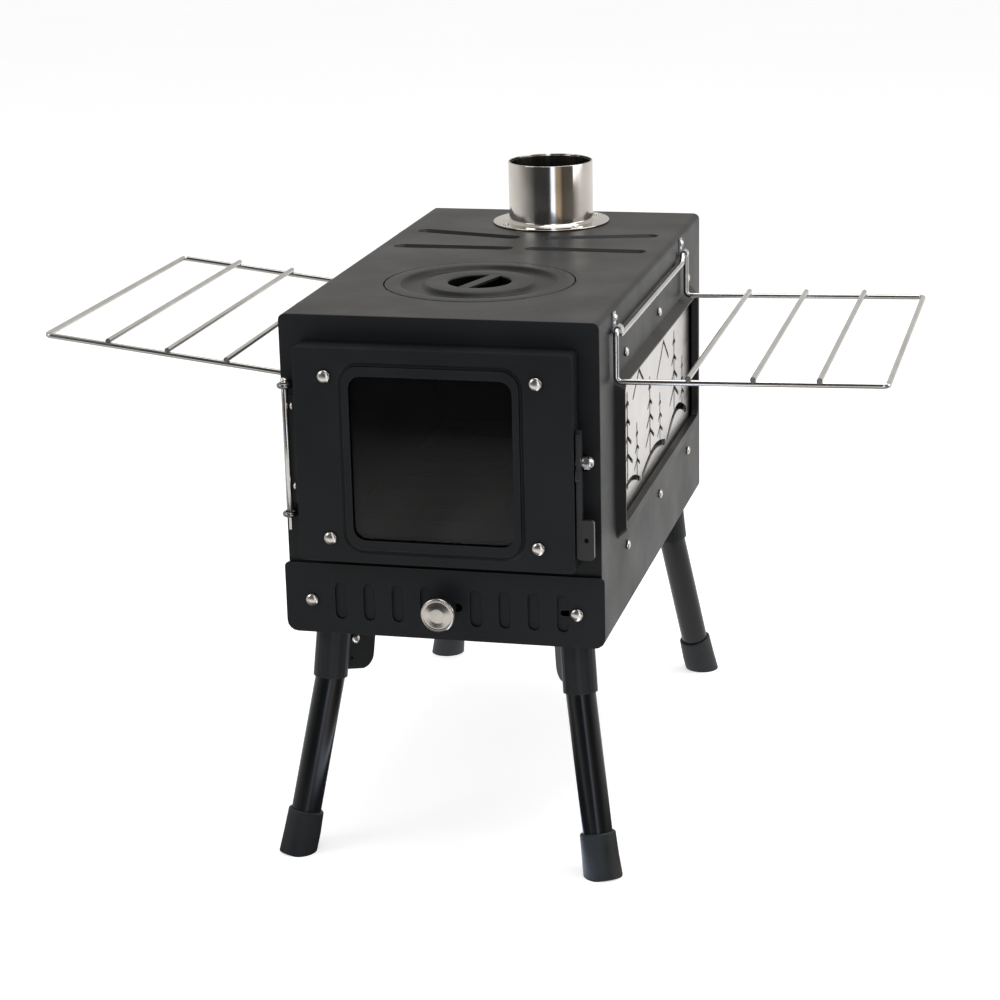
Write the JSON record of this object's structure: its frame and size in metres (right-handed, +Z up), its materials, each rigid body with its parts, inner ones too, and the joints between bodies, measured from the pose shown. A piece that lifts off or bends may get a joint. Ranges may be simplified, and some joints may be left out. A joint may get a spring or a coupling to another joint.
{
  "type": "tent wood stove",
  "caption": "Folding sheet-steel tent wood stove with a glazed door, sliding air vent, lift-off hob lid, flue collar, side window with a cut-out plate, wire side racks and folding legs.",
  "frame": {"origin": "middle of the footprint, on the floor that the feet stand on", "axes": "+Z up, -Y towards the person in front of the door, +X to the side with the window"},
  "size_m": [0.5396, 0.4024, 0.396],
  "materials": {
    "black_steel": "matte black heat-proof coat",
    "vent_steel": "satin black coat",
    "inner_steel": "matte dark coat",
    "stainless": "bright stainless",
    "wire": "bright wire",
    "fasteners": "bright zinc or stainless",
    "picture_plate": "plain steel, back-lit cut-outs",
    "glass": "dark ceramic glass",
    "leg_black": "gloss black",
    "rubber": "matte rubber"
  },
  "bodies": {
    "firebox": {"body_wrap": "black_steel", "front_panel": "black_steel", "back_panel": "black_steel", "bottom_pan": "inner_steel", "fire_grate": "inner_steel", "hob_seat_ring": "inner_steel", "flue_collar": "stainless", "art_plate": "picture_plate", "side_glass": "glass", "side_clamp_frame": "inner_steel", "side_rivet_bottom_1": "fasteners", "side_rivet_bottom_2": "fasteners", "side_rivet_bottom_3": "fasteners", "side_rivet_top_1": "fasteners", "side_rivet_top_2": "fasteners", "side_rivet_top_3": "fasteners", "hinge_pin": "fasteners", "hinge_eye_upper": "black_steel", "hinge_eye_lower": "black_steel", "vent_plate": "vent_steel", "vent_screw_left": "fasteners", "vent_screw_right": "fasteners", "rack_clip_right_front": "fasteners", "rack_clip_right_rear": "fasteners", "rack_clip_left_front": "fasteners", "rack_clip_left_rear": "fasteners", "leg_rail_front": "inner_steel", "leg_rail_rear": "inner_steel"},
    "door": {"door_panel": "black_steel", "door_glass": "glass", "glass_clamp": "inner_steel", "door_screw_1": "fasteners", "door_screw_2": "fasteners", "door_screw_3": "fasteners", "door_screw_4": "fasteners", "hinge_leaf": "fasteners", "latch_bolt": "fasteners", "latch_nut": "fasteners"},
    "latch": {"latch_lever": "black_steel"},
    "vent": {"vent_slider": "inner_steel", "vent_knob": "fasteners"},
    "hob": {"hob_lid": "black_steel"},
    "rack_r": {"rack_right": "wire"},
    "rack_l": {"rack_left": "wire"},
    "leg_front_left": {"leg_socket_front_left": "black_steel", "leg_bolt_front_left": "fasteners", "leg_tube_front_left": "leg_black", "foot_cap_front_left": "rubber"},
    "leg_front_right": {"leg_socket_front_right": "black_steel", "leg_bolt_front_right": "fasteners", "leg_tube_front_right": "leg_black", "foot_cap_front_right": "rubber"},
    "leg_rear_left": {"leg_socket_rear_left": "black_steel", "leg_bolt_rear_left": "fasteners", "leg_tube_rear_left": "leg_black", "foot_cap_rear_left": "rubber"},
    "leg_rear_right": {"leg_socket_rear_right": "black_steel", "leg_bolt_rear_right": "fasteners", "leg_tube_rear_right": "leg_black", "foot_cap_rear_right": "rubber"}
  },
  "joints": [
    {"name": "door_hinge", "type": "hinge", "parent": "firebox", "child": "door", "pos_m": [-0.09456, -0.188, 0.267], "axis": [0, 0, -1], "range_deg": [0, 150]},
    {"name": "latch_turn", "type": "hinge", "parent": "door", "child": "latch", "pos_m": [0.08934, -0.189, 0.2685], "axis": [-1, 0, 0], "range_deg": [0, 25]},
    {"name": "vent_slide", "type": "slide", "parent": "firebox", "child": "vent", "axis": [1, 0, 0], "range_m": [0, 0.0092]},
    {"name": "hob_lift", "type": "slide", "parent": "firebox", "child": "hob", "axis": [0, 0, 1], "range_m": [0, 0.03]},
    {"name": "rack_right_fold", "type": "hinge", "parent": "firebox", "child": "rack_r", "pos_m": [0.10364, -0.0203, 0.339], "axis": [0, -1, 0], "range_deg": [0, 90]},
    {"name": "rack_left_fold", "type": "hinge", "parent": "firebox", "child": "rack_l", "pos_m": [-0.10276, -0.0203, 0.339], "axis": [0, 1, 0], "range_deg": [0, 90]},
    {"name": "leg_front_left_fold", "type": "hinge", "parent": "firebox", "child": "leg_front_left", "pos_m": [-0.07086, -0.1475, 0.1325], "axis": [0.8192, -0.5736, 0], "range_deg": [0, 105]},
    {"name": "leg_front_right_fold", "type": "hinge", "parent": "firebox", "child": "leg_front_right", "pos_m": [0.07174, -0.1475, 0.1325], "axis": [0.8192, 0.5736, 0], "range_deg": [0, 92]},
    {"name": "leg_rear_left_fold", "type": "hinge", "parent": "firebox", "child": "leg_rear_left", "pos_m": [-0.07086, 0.1475, 0.1325], "axis": [-0.8192, -0.5736, 0], "range_deg": [0, 105]},
    {"name": "leg_rear_right_fold", "type": "hinge", "parent": "firebox", "child": "leg_rear_right", "pos_m": [0.07174, 0.1475, 0.1325], "axis": [-0.8192, 0.5736, 0], "range_deg": [0, 92]}
  ]
}
